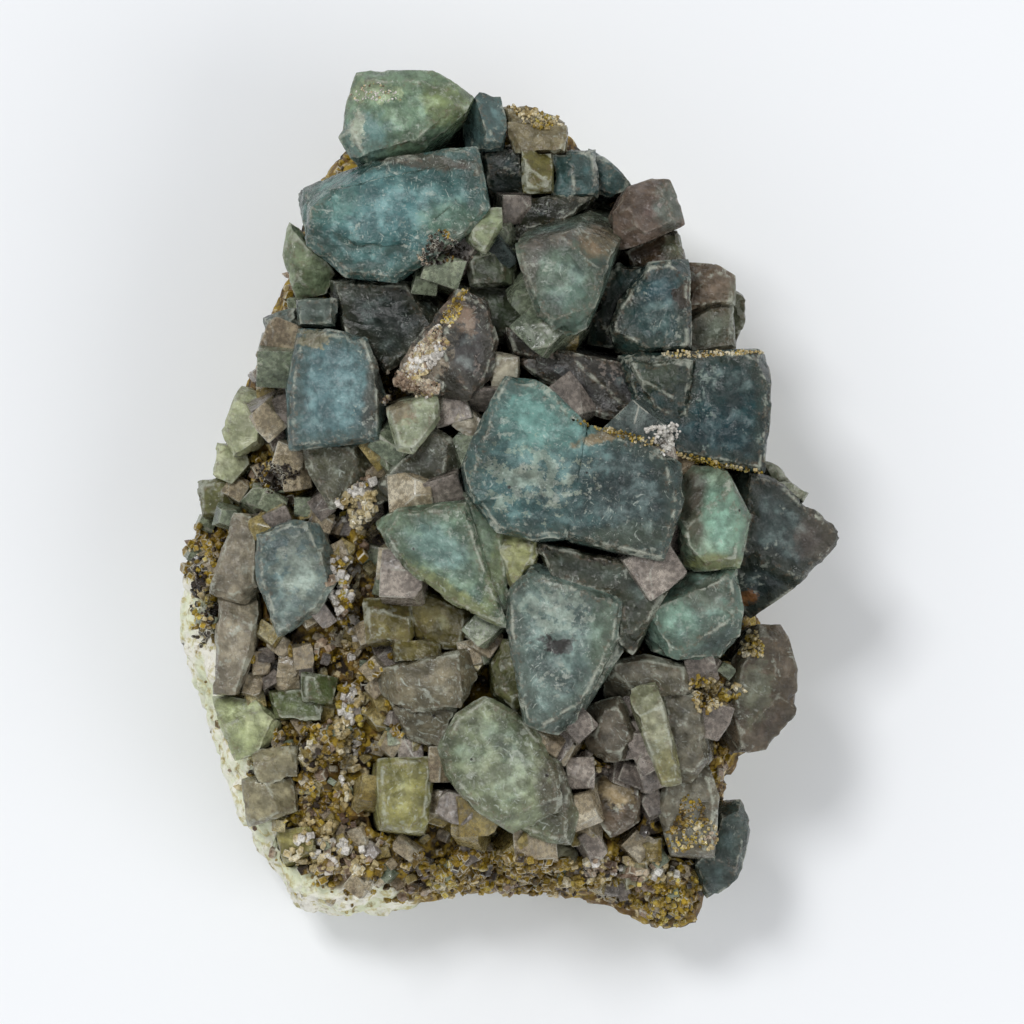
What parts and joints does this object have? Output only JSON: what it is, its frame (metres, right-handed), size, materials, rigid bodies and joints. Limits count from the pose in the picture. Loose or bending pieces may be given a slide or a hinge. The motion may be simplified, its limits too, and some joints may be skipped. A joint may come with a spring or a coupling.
{
  "type": "fluorite specimen",
  "caption": "Mineral specimen: blocky teal, green and smoky fluorite crystals grown together on drusy quartz rock with a flat broken back it lies on.",
  "frame": {"origin": "middle of the bounding box, on the flat broken back that the specimen lies on", "axes": "+X to the specimen's right and +Y to its narrow top as the picture shows it, +Z out of the crystal side"},
  "size_m": [0.0662, 0.086, 0.0365],
  "materials": {
    "quartz_rock": "rough, sugary quartz crust stained by iron, white where broken",
    "teal_fluorite": "cloudy, translucent, satin with fine growth lines",
    "sage_fluorite": "cloudy, translucent, satin with white flaws",
    "blue_grey_fluorite": "cloudy, translucent, satin",
    "smoke_fluorite": "smoky grey, translucent, crazed",
    "pale_green_fluorite": "milky, translucent, sugary edges",
    "slate_fluorite": "dark, translucent, satin",
    "deep_teal_fluorite": "clear to cloudy, dark body colour, satin",
    "mauve_fluorite": "smoky, translucent, satin",
    "olive_fluorite": "clear to cloudy, olive",
    "citron_fluorite": "cloudy, yellow green"
  },
  "bodies": {
    "root": {"matrix": "quartz_rock", "shield_crystal": "teal_fluorite", "central_block": "teal_fluorite", "leaf_crystal": "sage_fluorite", "lower_centre_crystal": "blue_grey_fluorite", "bottom_centre_crystal": "sage_fluorite", "ridge_crystal": "smoke_fluorite", "pale_wedge": "pale_green_fluorite", "blue_block": "teal_fluorite", "left_blue_cube": "blue_grey_fluorite", "white_chip": "pale_green_fluorite", "smoky_crystal": "smoke_fluorite", "shell_crystal_upper": "teal_fluorite", "shell_crystal_lower": "teal_fluorite", "yellow_pyramid": "pale_green_fluorite", "under_slab": "slate_fluorite", "white_studs": "pale_green_fluorite", "purple_slabs": "slate_fluorite", "deep_teal_block": "deep_teal_fluorite", "rounded_block": "mauve_fluorite", "teal_cube": "teal_fluorite", "brown_block": "mauve_fluorite", "top_crystal": "sage_fluorite", "upright_leaf": "pale_green_fluorite", "grey_green_pair": "sage_fluorite", "slate_slab": "slate_fluorite", "green_corner_crystal": "pale_green_fluorite", "small_blue_block": "blue_grey_fluorite", "olive_left_crystal": "smoke_fluorite", "left_hex_crystal": "blue_grey_fluorite", "tall_prisms": "mauve_fluorite", "left_edge_crystals": "pale_green_fluorite", "olive_edge_crystal": "olive_fluorite", "fractured_slabs": "smoke_fluorite", "olive_small_crystal": "olive_fluorite", "olive_blocks": "olive_fluorite", "lens_crystal": "smoke_fluorite", "blade_crystal": "pale_green_fluorite", "grey_cluster": "smoke_fluorite", "mauve_crystal": "mauve_fluorite", "citron_block": "citron_fluorite", "right_tip_crystal": "slate_fluorite", "right_rim_cubes": "pale_green_fluorite", "right_edge_blocks": "mauve_fluorite", "right_mauve_block": "mauve_fluorite", "bottom_right_lobe": "blue_grey_fluorite", "blue_shoulder": "blue_grey_fluorite", "teal_ledge": "deep_teal_fluorite", "cream_block": "pale_green_fluorite", "olive_cube": "olive_fluorite", "upper_teal_cubes": "teal_fluorite", "dark_ledge": "slate_fluorite", "pale_green_left": "pale_green_fluorite", "green_block": "sage_fluorite", "lower_left_cubes": "smoke_fluorite", "corner_cube": "citron_fluorite", "bottom_edge_cubes": "pale_green_fluorite", "bottom_right_cube": "pale_green_fluorite"}
  },
  "joints": []
}
